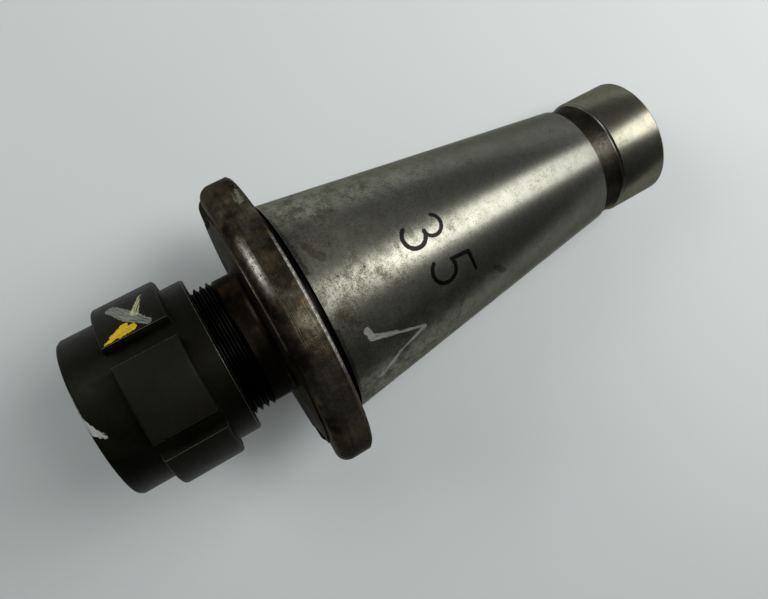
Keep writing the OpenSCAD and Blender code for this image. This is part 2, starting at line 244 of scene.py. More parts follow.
@dataclass(frozen=True)
class ThreadForm:
    """A right-hand metric thread, cut on a blank that has an outline of its own.

    The rows of its mesh follow the helix, so that the crests are unbroken lines.
    """

    pitch: float = 2.0 * MM
    crest_r: float = 21.0 * MM
    root_r: float = 19.773 * MM
    crest_flat: float = 0.25 * MM
    root_flat: float = 0.334 * MM
    edge: float = 0.05 * MM

    def rows(self, phase: float, start: float, end: float) -> list[Point]:
        """Rows of the thread along X at the angle where the spin begins.

        Args:
            phase: Place of one crest on X at that angle.
            start: Lowest place that the thread reaches.
            end: Highest place that the thread reaches.

        Returns:
            Points of (x, radius) over a stretch one pitch longer than the thread.
        """
        sign = 1.0 if self.crest_r > self.root_r else -1.0
        crest, root = self.crest_flat / 2, self.pitch / 2 - self.root_flat / 2
        turn = [
            (-crest - self.edge, self.crest_r - sign * self.edge),
            (-crest + self.edge, self.crest_r),
            (crest - self.edge, self.crest_r),
            (crest + self.edge, self.crest_r - sign * self.edge),
            (root - self.edge, self.root_r + sign * self.edge),
            (root + self.edge, self.root_r),
            (self.pitch - root - self.edge, self.root_r),
            (self.pitch - root + self.edge, self.root_r + sign * self.edge),
        ]
        first = math.floor((start - phase) / self.pitch) - 2
        last = math.ceil((end - phase) / self.pitch) + 1
        return [(phase + n * self.pitch + x, r) for n in range(first, last) for x, r in turn]

    def cut(
        self,
        bm: bmesh.types.BMesh,
        phase: float,
        start: float,
        end: float,
        limit: Callable[[float, float], float],
        steps: int,
    ) -> None:
        """Adds the threaded surface between two places on the axis.

        Args:
            bm: Mesh that takes the surface.
            phase: Place of one crest on X at the angle where the spin begins.
            start: Lowest place on X.
            end: Highest place on X.
            limit: Gives the radius at a place on X from the thread's own radius there.
            steps: Facets of a full turn.
        """
        section = bmesh.new()
        chain = add_chain(section, self.rows(phase, start, end))
        spin(section, chain, steps, advance=self.pitch / steps)
        for vert in section.verts:
            x = min(max(vert.co.x, start), end)
            own = off_axis(vert.co)
            scale = limit(x, own) / own
            vert.co = (x, vert.co.y * scale, vert.co.z * scale)
        bmesh.ops.remove_doubles(section, verts=section.verts, dist=WELD)
        pour(section, bm)


# Nodes


class Bench:
    """Adds and links the nodes of one node tree."""

    def __init__(self, tree: bpy.types.NodeTree) -> None:
        """Takes the tree to work in."""
        self.tree = tree

    def add(self, kind: str, **settings: object) -> bpy.types.Node:
        """Adds a node and sets its properties."""
        node = self.tree.nodes.new(kind)
        for name, value in settings.items():
            setattr(node, name, value)
        return node

    def feed(self, socket: Socket, value: Value) -> None:
        """Links a socket to another, or sets its value."""
        if isinstance(value, bpy.types.NodeSocket):
            self.tree.links.new(value, socket)
        else:
            socket.default_value = value

    def wire(self, kind: str, feeds: dict, **settings: object) -> bpy.types.Node:
        """Adds a node and feeds its inputs, given by number or by name."""
        node = self.add(kind, **settings)
        for key, value in feeds.items():
            self.feed(node.inputs[key], value)
        return node

    def math(self, operation: str, a: Value, b: Value = 0.0, clamp: bool = False) -> Socket:
        """Result of a math node."""
        feeds = {0: a, 1: b}
        return self.wire("ShaderNodeMath", feeds, operation=operation, use_clamp=clamp).outputs[0]

    def times(self, a: Value, b: Value) -> Socket:
        """Product of two numbers."""
        return self.math("MULTIPLY", a, b)

    def over(self, a: Value, b: Value) -> Socket:
        """One number divided by another."""
        return self.math("DIVIDE", a, b)

    def plus(self, a: Value, b: Value) -> Socket:
        """Sum of two numbers."""
        return self.math("ADD", a, b)

    def minus(self, a: Value, b: Value) -> Socket:
        """Difference of two numbers."""
        return self.math("SUBTRACT", a, b)

    def reach(self, a: Value, b: Value) -> Socket:
        """Length of the diagonal over two sides."""
        return self.math("SQRT", self.plus(self.times(a, a), self.times(b, b)))

    def vector(self, operation: str, a: Value, b: Value = (0.0, 0.0, 0.0)) -> bpy.types.Node:
        """A vector math node."""
        return self.wire("ShaderNodeVectorMath", {0: a, 1: b}, operation=operation)

    def away(self, a: Value, b: Value) -> Socket:
        """The vector from one place to another."""
        return self.vector("SUBTRACT", b, a).outputs[0]

    def length(self, a: Value) -> Socket:
        """Length of a vector."""
        return self.vector("LENGTH", a).outputs["Value"]

    def dot(self, a: Value, b: Value) -> Socket:
        """Dot product of two vectors."""
        return self.vector("DOT_PRODUCT", a, b).outputs["Value"]

    def scaled(self, a: Value, factor: Value) -> Socket:
        """A vector times a number."""
        return self.wire("ShaderNodeVectorMath", {0: a, "Scale": factor}, operation="SCALE").outputs[0]

    def step(self, value: Value, low: Value, high: Value) -> Socket:
        """0 below low, 1 above high and smooth between them."""
        feeds = {"Value": value, "From Min": low, "From Max": high}
        return self.wire("ShaderNodeMapRange", feeds, interpolation_type="SMOOTHSTEP").outputs[0]

    def between(self, fraction: Value, low: Value, high: Value) -> Socket:
        """Number between low and high at a fraction."""
        return self.wire("ShaderNodeMix", {0: fraction, 2: low, 3: high}, data_type="FLOAT").outputs[0]

    def blend(self, fraction: Value, low: Value, high: Value) -> Socket:
        """Colour between two colours at a fraction."""
        return self.wire("ShaderNodeMix", {0: fraction, 6: low, 7: high}, data_type="RGBA").outputs[2]

    def coat(self, tint: Value, mask: Value, strength: Value, shade: Value) -> Socket:
        """A colour with another laid over it where a mask is, at some strength."""
        return self.blend(self.times(mask, strength), tint, shade)

    def coats(self, tint: Value, rows: Iterable[Tuple[Value, Value, Value]]) -> Socket:
        """A colour with several others laid over it: the mask, strength and colour of each."""
        for mask, strength, shade in rows:
            tint = self.coat(tint, mask, strength, shade)
        return tint

    def noise(self, place: Value, scale: Value, detail: float = 4.0, rough: float = 0.55) -> Socket:
        """Noise from 0 to 1 at a place."""
        feeds = {"Vector": place, "Scale": scale, "Detail": detail, "Roughness": rough}
        return self.wire("ShaderNodeTexNoise", feeds).outputs["Fac"]

    def join(self, x: Value, y: Value, z: Value) -> Socket:
        """A vector from three numbers."""
        return self.wire("ShaderNodeCombineXYZ", {0: x, 1: y, 2: z}).outputs[0]

    def split(self, place: Value) -> Sequence[Socket]:
        """The three numbers of a vector."""
        return self.wire("ShaderNodeSeparateXYZ", {0: place}).outputs

    def effect(self, group: bpy.types.NodeTree, **values: Value) -> bpy.types.Node:
        """Places a node group, its inputs given by name with _ for a space."""
        feeds = {name.replace("_", " "): value for name, value in values.items()}
        return self.wire("ShaderNodeGroup", feeds, node_tree=group)


class Kind(Enum):
    """Kinds of socket of a node group."""

    NUMBER = "NodeSocketFloat"
    VECTOR = "NodeSocketVector"


ORIGIN = (0.0, 0.0, 0.0)
CHIP_SIZE = 2.6 * MM
BORDER_NOISE = 900.0
HAIR_NOISE = 2600.0
Lay = Callable[..., Socket]


def group(name: str, output: str, lay: Lay, **inputs: Value) -> bpy.types.NodeTree:
    """Makes a shader node group with one number as output, or returns it if it is there.

    Args:
        name: Name of the group.
        output: Name of the output.
        lay: Lays the nodes from a bench and the inputs, and returns the socket for the output.
        **inputs: Default of each input, by its name with _ for a space.

    Returns:
        The group.
    """
    if name in bpy.data.node_groups:
        return bpy.data.node_groups[name]
    tree = bpy.data.node_groups.new(name, "ShaderNodeTree")
    for label, default in inputs.items():
        kind = Kind.VECTOR if isinstance(default, tuple) else Kind.NUMBER
        label = label.replace("_", " ")
        socket = tree.interface.new_socket(label, in_out="INPUT", socket_type=kind.value)
        socket.default_value = default
    tree.interface.new_socket(output, in_out="OUTPUT", socket_type=Kind.NUMBER.value)
    bench = Bench(tree)
    entry = bench.add("NodeGroupInput")
    leave = bench.add("NodeGroupOutput")
    given = [entry.outputs[i] for i in range(len(inputs))]
    bench.feed(leave.inputs[0], lay(bench, *given))
    return tree


def turning_marks() -> bpy.types.NodeTree:
    """Fine lines that run round the axis, as a lathe or a grinding wheel leaves them."""

    def lay(bench: Bench, place: Socket, spacing: Socket, run: Socket) -> Socket:
        """Noise squeezed round the axis, in two sizes."""
        x, y, z = bench.split(place)
        along = bench.over(x, spacing)
        across = bench.over(y, run)
        down = bench.over(z, run)
        fine = bench.noise(bench.join(along, across, down), 1.0, 3.0, 0.6)
        broad = bench.noise(bench.join(bench.times(along, 0.21), across, down), 1.0, 2.0)
        both = bench.plus(bench.times(fine, 0.6), bench.times(broad, 0.4))
        return bench.step(both, 0.36, 0.64)

    return group("turning_marks", "Lines", lay, Place=ORIGIN, Spacing=0.3 * MM, Run=14 * MM)


def stains() -> bpy.types.NodeTree:
    """Soft uneven patches, such as rust, oil film or handling leave."""

    def lay(bench: Bench, place: Socket, size: Socket, cover: Socket, soft: Socket) -> Socket:
        """Noise cut at a level."""
        near = bench.vector("DIVIDE", place, bench.join(size, size, size)).outputs[0]
        patch = bench.noise(near, 1.0, 5.0, 0.62)
        level = bench.minus(0.78, bench.times(cover, 0.56))
        return bench.step(patch, bench.minus(level, soft), bench.plus(level, soft))

    return group("stains", "Patches", lay, Place=ORIGIN, Size=10 * MM, Cover=0.5, Softness=0.08)


def pits() -> bpy.types.NodeTree:
    """Small specks where rust has bitten the metal."""

    def lay(bench: Bench, place: Socket, size: Socket, share: Socket) -> Socket:
        """Cells with a dark middle, of which only a share is kept."""
        near = bench.vector("DIVIDE", place, bench.join(size, size, size)).outputs[0]
        cells = bench.wire("ShaderNodeTexVoronoi", {"Vector": near, "Scale": 1.0}, feature="F1")
        chance = bench.split(cells.outputs["Color"])[0]
        kept = bench.step(chance, bench.minus(1.0, share), bench.minus(1.06, share))
        round_pit = bench.step(cells.outputs["Distance"], 0.42, 0.12)
        return bench.times(round_pit, kept)

    return group("pits", "Specks", lay, Place=ORIGIN, Size=0.6 * MM, Share=0.4)


def edge_wear() -> bpy.types.NodeTree:
    """Bare metal on the broken edges that the mesh marks, chipped by noise."""

    def lay(bench: Bench, place: Socket, amount: Socket) -> Socket:
        """The mark of the mesh times a noise."""
        mark = bench.add("ShaderNodeAttribute", attribute_name="worn_edge").outputs["Fac"]
        near = bench.scaled(place, 1 / CHIP_SIZE)
        chips = bench.noise(near, 1.0, 5.0, 0.7)
        low = bench.minus(0.72, bench.times(amount, 0.44))
        return bench.times(mark, bench.step(chips, low, bench.plus(low, 0.12)))

    return group("edge_wear", "Bare", lay, Place=ORIGIN, Amount=0.5)


def ragged_edge(
    bench: Bench, place: Socket, distance: Socket, width: Value, ragged: Value, soft: float
) -> Socket:
    """1 within a width of a line, with a border that noise makes ragged."""
    wobble = bench.minus(bench.noise(place, BORDER_NOISE, 3.0), 0.5)
    border = bench.plus(width, bench.times(wobble, ragged))
    return bench.step(bench.minus(border, distance), 0.0, soft)


def brush_stroke() -> bpy.types.NodeTree:
    """One stroke of a brush, pen or piece of chalk on the unrolled surface of a turned piece."""

    def lay(bench: Bench, place: Socket, start: Socket, end: Socket, *shape: Socket) -> Socket:
        """Distance from a line, with a ragged border and bristle marks along it."""
        first, last, ragged, bristle = shape
        line = bench.away(start, end)
        off = bench.away(start, place)
        length = bench.length(line)
        share = bench.math("DIVIDE", bench.dot(off, line), bench.times(length, length), clamp=True)
        distance = bench.length(bench.away(bench.scaled(line, share), off))
        cross = bench.split(bench.vector("CROSS_PRODUCT", off, line).outputs[0])[2]
        across = bench.over(cross, length)
        width = bench.between(share, first, last)
        inside = ragged_edge(bench, place, distance, width, ragged, 0.25 * MM)
        hairs = bench.join(bench.times(across, HAIR_NOISE), bench.times(share, 2.0), 0.0)
        streak = bench.step(bench.noise(hairs, 1.0, 2.0), 0.35, 0.62)
        return bench.times(inside, bench.between(bristle, 1.0, streak))

    return group(
        "brush_stroke", "Cover", lay, Place=ORIGIN, Start=ORIGIN, End=(MM, 0.0, 0.0),
        First_width=0.6 * MM, Last_width=0.6 * MM, Ragged=0.3 * MM, Bristle=0.0,
    )


def curved_stroke() -> bpy.types.NodeTree:
    """One stroke along an arc on the unrolled surface of a turned piece."""

    def lay(bench: Bench, place: Socket, centre: Socket, *shape: Socket) -> Socket:
        """Distance from the arc, with a ragged border."""
        radius, heading, half, width, ragged = shape
        off = bench.away(centre, place)
        x, y, _ = bench.split(off)
        turn = bench.minus(bench.math("ARCTAN2", y, x), heading)
        limits = {0: turn, 1: math.pi, 2: -math.pi}
        wrapped = bench.wire("ShaderNodeMath", limits, operation="WRAP").outputs[0]
        held = bench.math("MINIMUM", wrapped, half)
        held = bench.math("MAXIMUM", held, bench.times(half, -1.0))
        bearing = bench.plus(held, heading)
        unit = bench.join(bench.math("COSINE", bearing), bench.math("SINE", bearing), 0.0)
        distance = bench.length(bench.away(bench.scaled(unit, radius), off))
        return ragged_edge(bench, place, distance, width, ragged, 0.2 * MM)

    return group(
        "curved_stroke", "Cover", lay, Place=ORIGIN, Centre=ORIGIN, Radius=3 * MM, Heading=0.0,
        Half_sweep=1.0, Width=0.6 * MM, Ragged=0.3 * MM,
    )


def ring_band() -> bpy.types.NodeTree:
    """A band right round the axis, between two places on X."""

    def lay(bench: Bench, place: Socket, start: Socket, end: Socket, soft: Socket) -> Socket:
        """Product of a rise and a fall along X."""
        x = bench.split(place)[0]
        rise = bench.step(x, bench.minus(start, soft), bench.plus(start, soft))
        fall = bench.step(x, bench.minus(end, soft), bench.plus(end, soft))
        return bench.times(rise, bench.minus(1.0, fall))

    return group("ring_band", "Band", lay, Place=ORIGIN, Start=0.0, End=MM, Softness=0.1 * MM)


def flat_place(point: Point) -> Place:
    """A point given in millimetres as a place on an unrolled surface."""
    return (point[0] * MM, point[1] * MM, 0.0)


@dataclass(frozen=True)
class Stroke:
    """A straight stroke on an unrolled surface, in millimetres of (along X, round the axis)."""

    start: Point
    end: Point
    first_width: float
    last_width: float
    ragged: float = 0.2
    bristle: float = 0.0

    def cover(self, bench: Bench, place: Socket) -> Socket:
        """How far the stroke covers the surface at an unrolled place."""
        node = bench.effect(
            brush_stroke(),
            Place=place,
            Start=flat_place(self.start),
            End=flat_place(self.end),
            First_width=self.first_width * MM,
            Last_width=self.last_width * MM,
            Ragged=self.ragged * MM,
            Bristle=self.bristle,
        )
        return node.outputs[0]


@dataclass(frozen=True)
class Curve:
    """A stroke along an arc, in millimetres and in degrees from +X towards growing angle."""

    centre: Point
    radius: float
    start: float
    end: float
    width: float
    ragged: float = 0.2

    def cover(self, bench: Bench, place: Socket) -> Socket:
        """How far the stroke covers the surface at an unrolled place."""
        node = bench.effect(
            curved_stroke(),
            Place=place,
            Centre=flat_place(self.centre),
            Radius=self.radius * MM,
            Heading=math.radians((self.start + self.end) / 2),
            Half_sweep=math.radians(abs(self.end - self.start) / 2),
            Width=self.width * MM,
            Ragged=self.ragged * MM,
        )
        return node.outputs[0]


def covered(bench: Bench, place: Socket, strokes: Iterable[Union[Stroke, Curve]]) -> Socket:
    """Cover of several strokes together."""
    total: Value = 0.0
    for stroke in strokes:
        total = bench.math("MAXIMUM", total, stroke.cover(bench, place))
    return total


class Finish:
    """A material with a Principled shader and Object coordinates."""

    def __init__(self, name: str) -> None:
        """Starts the material.

        Args:
            name: Name of the material.
        """
        self.material = bpy.data.materials.new(name)
        self.material.use_nodes = True
        self.bench = Bench(self.material.node_tree)
        self.shader = self.material.node_tree.nodes["Principled BSDF"]
        self.place = self.bench.add("ShaderNodeTexCoord").outputs["Object"]

    def unrolled(self) -> Socket:
        """The place on the surface as (along X, round the axis from +Z towards -Y, 0)."""
        bench = self.bench
        x, y, z = bench.split(self.place)
        return bench.join(x, bench.times(self.angle(), bench.reach(y, z)), 0.0)

    def lines(self, spacing: float, run: float) -> Socket:
        """Turning marks, by their spacing and how far round they hold."""
        marks = self.bench.effect(turning_marks(), Place=self.place, Spacing=spacing, Run=run)
        return marks.outputs[0]

    def patches(self, size: float, cover: Value, softness: float, squeeze: float = 1.0) -> Socket:
        """Uneven patches, squeezed along X by a factor."""
        place = self.place if squeeze == 1.0 else self.squeezed(squeeze)
        marks = self.bench.effect(stains(), Place=place, Size=size, Cover=cover, Softness=softness)
        return marks.outputs[0]

    def squeezed(self, squeeze: float) -> Socket:
        """The place on the surface, with its run along X made shorter by a factor."""
        return self.bench.vector("MULTIPLY", self.place, (squeeze, 1.0, 1.0)).outputs[0]

    def specks(self, size: float, share: Value) -> Socket:
        """Bitten specks, by their size and the share of them that is there."""
        return self.bench.effect(pits(), Place=self.place, Size=size, Share=share).outputs[0]

    def wear(self, amount: float) -> Socket:
        """Bare metal on the broken edges."""
        return self.bench.effect(edge_wear(), Place=self.place, Amount=amount).outputs[0]

    def band(self, start: float, end: float, softness: float = 0.1 * MM) -> Socket:
        """A band round the axis between two places on X."""
        ring = self.bench.effect(ring_band(), Place=self.place, Start=start, End=end, Softness=softness)
        return ring.outputs[0]

    def angle(self) -> Socket:
        """Angle round the axis, from +Z towards -Y."""
        _, y, z = self.bench.split(self.place)
        return self.bench.math("ARCTAN2", self.bench.times(y, -1.0), z)

    def set(self, **values: Value) -> None:
        """Feeds inputs of the shader, given by name with _ for a space."""
        for name, value in values.items():
            self.bench.feed(self.shader.inputs[name.replace("_", " ")], value)

    def grooved(self, amount: float) -> None:
        """Draws the gloss out across lines that go round X."""
        tangent = self.bench.add("ShaderNodeTangent", direction_type="RADIAL", axis="X")
        self.set(Anisotropic=amount, Anisotropic_Rotation=0.25, Tangent=tangent.outputs[0])

    def bump(self, height: Value, depth: float, strength: float = 1.0) -> None:
        """Adds a bump of some depth in metres."""
        feeds = {"Strength": strength, "Distance": depth, "Height": height}
        self.set(Normal=self.bench.wire("ShaderNodeBump", feeds).outputs[0])


@dataclass(frozen=True)
class GroundSteel:
    """The ground cone and pilot: steel with an olive film, brown stains and bitten specks."""

    name: str = "ground_steel"
    bright: Colour = colour(0.42, 0.412, 0.335)
    plain: Colour = colour(0.2, 0.198, 0.175)
    film: Colour = colour(0.14, 0.14, 0.11)
    brown: Colour = colour(0.085, 0.066, 0.036)
    dirt: Colour = colour(0.02, 0.018, 0.013)
    rust: Colour = colour(0.075, 0.048, 0.026)
    straw: Colour = colour(0.22, 0.206, 0.148)
    ink: Colour = colour(0.007, 0.007, 0.008)
    chalk: Colour = colour(0.46, 0.47, 0.43)
    edge_tint: Colour = colour(0.45, 0.45, 0.42)
    stained_to: float = 78 * MM
    pilot_start: float = 109.5 * MM
    pilot_end: float = 127 * MM
    line_gap: float = 0.5 * MM
    hair_gap: float = 0.16 * MM
    blot: float = 1.3 * MM
    speck: float = 0.45 * MM
    grain: float = 0.5 * MM
    dust: float = 1.3 * MM
    squeeze: float = 1.3
    gloss: Point = (0.27, 0.33)
    marked_gloss: float = 0.45
    groove_pull: float = 0.55
    depth: float = 0.018 * MM

    def ink_strokes(self) -> list[Union[Stroke, Curve]]:
        """A plain number written with a marker: its two figures stand along the axis."""
        three = [
            Curve((39.4, -7.0), 3.1, -62, 168, 0.7, 0.35),
            Curve((33.0, -6.6), 3.6, 2, 236, 0.78, 0.35),
        ]
        five = [
            Stroke((46.8, 10.8), (46.2, 4.8), 0.62, 0.8, 0.35),
            Stroke((46.2, 4.8), (40.4, 4.4), 0.8, 0.7, 0.35),
            Curve((36.9, 6.2), 3.9, -28, 232, 0.74, 0.35),
        ]
        return three + five

    def chalk_strokes(self) -> list[Stroke]:
        """The pale tick near the flange."""
        return [
            Stroke((8.2, 10.2), (8.8, 12.6), 1.15, 1.2, 0.9, 0.4),
            Stroke((8.8, 12.9), (16.5, 15.9), 1.2, 0.75, 0.6, 0.55),
            Stroke((16.5, 15.9), (25.2, 19.2), 0.55, 0.7, 0.6, 0.65),
            Stroke((25.2, 19.6), (16.0, 23.0), 0.8, 0.55, 0.6, 0.7),
            Stroke((16.0, 23.0), (8.2, 28.4), 0.6, 0.9, 0.6, 0.6),
        ]

    def smudges(self) -> Sequence[Tuple[Colour, float, list[Stroke]]]:
        """Spots of rust and dirt: a colour, how well it covers, and its strokes."""
        rust = [
            Stroke((13.6, -27.8), (16.4, -26.0), 1.3, 1.1, 3.2),
            Stroke((4.0, -19.0), (6.5, -14.0), 1.2, 1.6, 3.4),
            Stroke((3.0, 2.0), (7.0, 7.0), 1.4, 1.0, 3.4),
        ]
        dirt = [
            Stroke((53.5, 14.2), (56.3, 17.4), 1.0, 1.2, 2.4),
            Stroke((0.4, -34.0), (0.8, -12.0), 0.5, 0.8, 1.8),
            Stroke((0.4, 6.0), (0.4, 30.0), 0.9, 0.5, 1.8),
        ]
        return [(self.rust, 0.5, rust), (self.dirt, 0.55, dirt)]

    def scratches(self) -> list[Union[Stroke, Curve]]:
        """Bright hair lines from handling."""
        return [
            Curve((25.5, -13.6), 8.4, 140, 190, 0.09, 0.12),
            Curve((26.4, -13.2), 8.2, 142, 176, 0.08, 0.12),
            Stroke((2.3, -3.9), (6.4, -6.1), 0.1, 0.06, 0.1),
            Stroke((58.0, 2.0), (74.0, -5.0), 0.06, 0.08, 0.12),
            Stroke((50.0, 14.0), (61.0, 12.5), 0.07, 0.05, 0.12),
            Stroke((15.6, -33.0), (16.1, -33.3), 0.3, 0.3, 0.2),
        ]

    def marked(self, finish: Finish, tint: Socket, dull: Socket, metal: Socket) -> Sequence[Socket]:
        """Lays smudges, scratches, chalk and ink over the steel.

        Args:
            finish: The finish that is built.
            tint: Colour of the steel.
            dull: Its roughness.
            metal: How metallic it is.

        Returns:
            The same three with the marks on them.
        """
        bench, flat = finish.bench, finish.unrolled()
        for shade, strength, smudges in self.smudges():
            tint = bench.coat(tint, covered(bench, flat, smudges), strength, shade)
        tint = bench.coat(tint, covered(bench, flat, self.scratches()), 0.8, self.chalk)
        chalk = bench.times(covered(bench, flat, self.chalk_strokes()), 0.74)
        ink = bench.times(covered(bench, flat, self.ink_strokes()), 0.97)
        tint = bench.blend(ink, bench.blend(chalk, tint, self.chalk), self.ink)
        dull = bench.between(bench.math("MAXIMUM", ink, chalk), dull, self.marked_gloss)
        return tint, dull, bench.times(metal, bench.minus(1.0, chalk))

    def make(self) -> bpy.types.Material:
        """Builds the material."""
        finish = Finish(self.name)
        bench, place = finish.bench, finish.place
        near_flange = bench.step(bench.split(place)[0], self.stained_to, 0.0)
        pilot = finish.band(self.pilot_start, self.pilot_end)
        lines = finish.lines(self.line_gap, 26 * MM)
        hair = finish.lines(self.hair_gap, 9 * MM)
        small = finish.patches(3.0 * MM, 0.5, 0.15, self.squeeze)
        rust = finish.patches(6 * MM, bench.between(near_flange, 0.12, 0.42), 0.12, self.squeeze)
        mottled = bench.times(finish.patches(13 * MM, 0.5, 0.2, self.squeeze), 0.5)
        mottled = bench.plus(mottled, bench.times(small, 0.35))
        share = bench.plus(bench.between(near_flange, 0.12, 0.4), bench.times(pilot, 0.3))
        blots = finish.specks(self.blot, bench.between(near_flange, 0.03, 0.07))
        bitten = bench.math("MAXIMUM", finish.specks(self.speck, share), blots)
        gathered = bench.noise(finish.squeezed(self.squeeze), 1 / (6 * MM), 3.0, 0.6)
        low = bench.minus(0.71, bench.times(gathered, bench.between(near_flange, 0.3, 0.42)))
        grain = bench.step(bench.noise(place, 1 / self.grain, 3.0, 0.8), low, bench.plus(low, 0.08))
        dust = bench.step(bench.noise(place, 1 / self.dust, 4.0, 0.7), 0.42, 0.62)

        layers = (
            (mottled, 0.8, self.film),
            (dust, 0.3, self.film),
            (rust, 0.5, self.brown),
            (grain, bench.between(near_flange, 0.5, 0.58), self.dirt),
            (lines, 0.3, self.film),
            (bitten, 0.75, self.dirt),
            (pilot, bench.between(small, 0.75, 0.25), self.straw),
            (finish.wear(0.9), 0.5, self.bright),
        )
        tint = bench.coats(bench.blend(near_flange, self.plain, self.bright), layers)

        dull = bench.between(mottled, *self.gloss)
        for mask, rise in (
            (rust, 0.04),
            (near_flange, 0.03),
            (bitten, 0.22),
            (grain, bench.between(near_flange, 0.04, 0.1)),
        ):
            dull = bench.plus(dull, bench.times(mask, rise))

        height = bench.plus(bench.times(lines, 0.3), bench.times(hair, 0.25))
        height = bench.minus(bench.minus(height, bitten), bench.times(grain, 0.25))
        tint, dull, metal = self.marked(finish, tint, dull, bench.between(rust, 1.0, 0.8))
        finish.set(Base_Color=tint, Roughness=dull, Metallic=metal, Specular_Tint=self.edge_tint)
        finish.grooved(self.groove_pull)
        finish.bump(height, self.depth, 0.8)
        return finish.material


@dataclass(frozen=True)
class RubbedHighlight:
    """A stretch of a turned edge laid with bare-metal colour: a band on X and a span of angles round it.
    Partly worn metal, partly a painted highlight kept to the angles where the highlight falls.
    """

    start: float
    end: float
    soft: float
    strength: float
    first: float
    last: float
    fade: float = 7.0

    def cover(self, finish: Finish) -> Socket:
        """How far the bare colour covers the surface of a finish: worn metal and painted highlight."""
        bench, angle = finish.bench, finish.angle()
        first, last, fade = (math.radians(a) for a in (self.first, self.last, self.fade))
        rise = bench.step(angle, first - fade, first + fade)
        fall = bench.step(angle, last + fade, last - fade)
        band = finish.band(self.start, self.end, self.soft)
        return bench.times(band, bench.times(bench.times(rise, fall), self.strength))


@dataclass(frozen=True)
class BrownedSteel:
    """Turned steel gone brown or black, worn bare where it is handled; it can also carry painted shade
    (a near-black recess band, and darkening away from the upwards side) and painted highlights on spans
    of its edges.
    """

    name: str = "browned_flange"
    brown: Colour = colour(0.172, 0.153, 0.11)
    dark: Colour = colour(0.018, 0.0152, 0.0105)
    ochre: Colour = colour(0.15, 0.105, 0.052)
    bare: Colour = colour(0.42, 0.41, 0.36)
    lichen: Colour = colour(0.20, 0.23, 0.17)
    # Near-black used for painted shade in a recess.
    recess_shade_black: Colour = colour(0.003, 0.003, 0.003)
    edge_tint: Colour = colour(0.3, 0.28, 0.24)
    metal: float = 0.9
    spacing: float = 0.45 * MM
    dull: float = 0.34
    depth: float = 0.05 * MM
    wear: float = 0.75
    pitted: float = 0.5
    scribed: Tuple[float, ...] = ()
    # Band on X that is painted near-black as shade in a recess.
    painted_recess_shade: Point = (0.0, 0.0)
    patched: bool = False
    # Painted shade: how strongly the dark colour is laid away from the upwards side, and the levels
    # along upwards where it starts and where it is full.
    painted_side_shade: float = 0.0
    unshaded_above: float = 38 * MM
    fully_shaded_below: float = 8 * MM
    upwards: Place = (0.0, 0.25, 1.0)
    scribe_width: float = 0.12 * MM
    rubbed_highlights: Sequence[RubbedHighlight] = ()

    def pale_patches(self) -> list[Stroke]:
        """Pale greenish deposits at one end of the rim."""
        return [
            Stroke((-4.7, -48.0), (-5.6, -40.8), 0.35, 0.8, 2.6, 0.5),
            Stroke((-6.2, -46.0), (-6.6, -42.2), 0.1, 0.45, 2.2, 0.6),
        ]

    def make(self) -> bpy.types.Material:
        """Builds the material."""
        finish = Finish(self.name)
        bench = finish.bench
        lines = finish.lines(self.spacing, 24 * MM)
        broad = finish.patches(14 * MM, 0.5, 0.14)
        warm = finish.patches(5 * MM, 0.36, 0.1)
        fine = finish.patches(1.3 * MM, 0.5, 0.12)
        specks = finish.specks(0.7 * MM, self.pitted)
        wear = finish.wear(self.wear)
        layers = (
            (warm, 0.5, self.ochre),
            (fine, 0.35, self.dark),
            (lines, 0.4, self.dark),
            (specks, 0.6, self.dark),
        )
        tint = bench.coats(bench.blend(broad, self.brown, self.dark), layers)
        tint = bench.blend(wear, tint, self.bare)
        rough = bench.minus(bench.plus(bench.times(broad, 0.1), self.dull), bench.times(wear, 0.08))
        height = bench.minus(bench.minus(bench.times(lines, 0.6), specks), bench.times(fine, 0.3))
        for line in self.scribed:
            band = finish.band(line, line + self.scribe_width, self.scribe_width / 2)
            tint = bench.coat(tint, band, 0.8, self.dark)
            height = bench.minus(height, bench.times(band, 2.0))
        # Painted shade: a near-black band round the axis where a recess meets a shoulder.
        if self.painted_recess_shade[1] > self.painted_recess_shade[0]:
            tint = bench.coat(tint, finish.band(*self.painted_recess_shade, 0.15 * MM), 0.9, self.recess_shade_black)
        # Painted highlight: bare-metal colour laid only over the spans of angle where the highlight
        # falls, partly also worn metal.
        for highlight_rub in self.rubbed_highlights:
            bare = bench.times(highlight_rub.cover(finish), bench.minus(1.0, specks))
            tint = bench.coat(tint, bare, bench.between(fine, 1.0, 0.4), self.bare)
        # Painted shade: darken the finish below a level along the upwards direction, so the flange's
        # sides and underside look shaded.
        if self.painted_side_shade:
            level = bench.dot(finish.place, self.upwards)
            uneven = bench.plus(level, bench.times(broad, 5 * MM))
            below = bench.step(uneven, self.unshaded_above, self.fully_shaded_below)
            tint = bench.coat(tint, below, self.painted_side_shade, self.dark)
        metal: Value = self.metal
        if self.patched:
            cover = bench.times(covered(bench, finish.unrolled(), self.pale_patches()), 0.8)
            tint = bench.blend(cover, tint, self.lichen)
            rough = bench.between(cover, rough, 0.6)
            metal = bench.between(cover, self.metal, 0.2)
        finish.set(Base_Color=tint, Roughness=rough, Metallic=metal, Specular_Tint=self.edge_tint)
        finish.bump(height, self.depth, 0.8)
        return finish.material


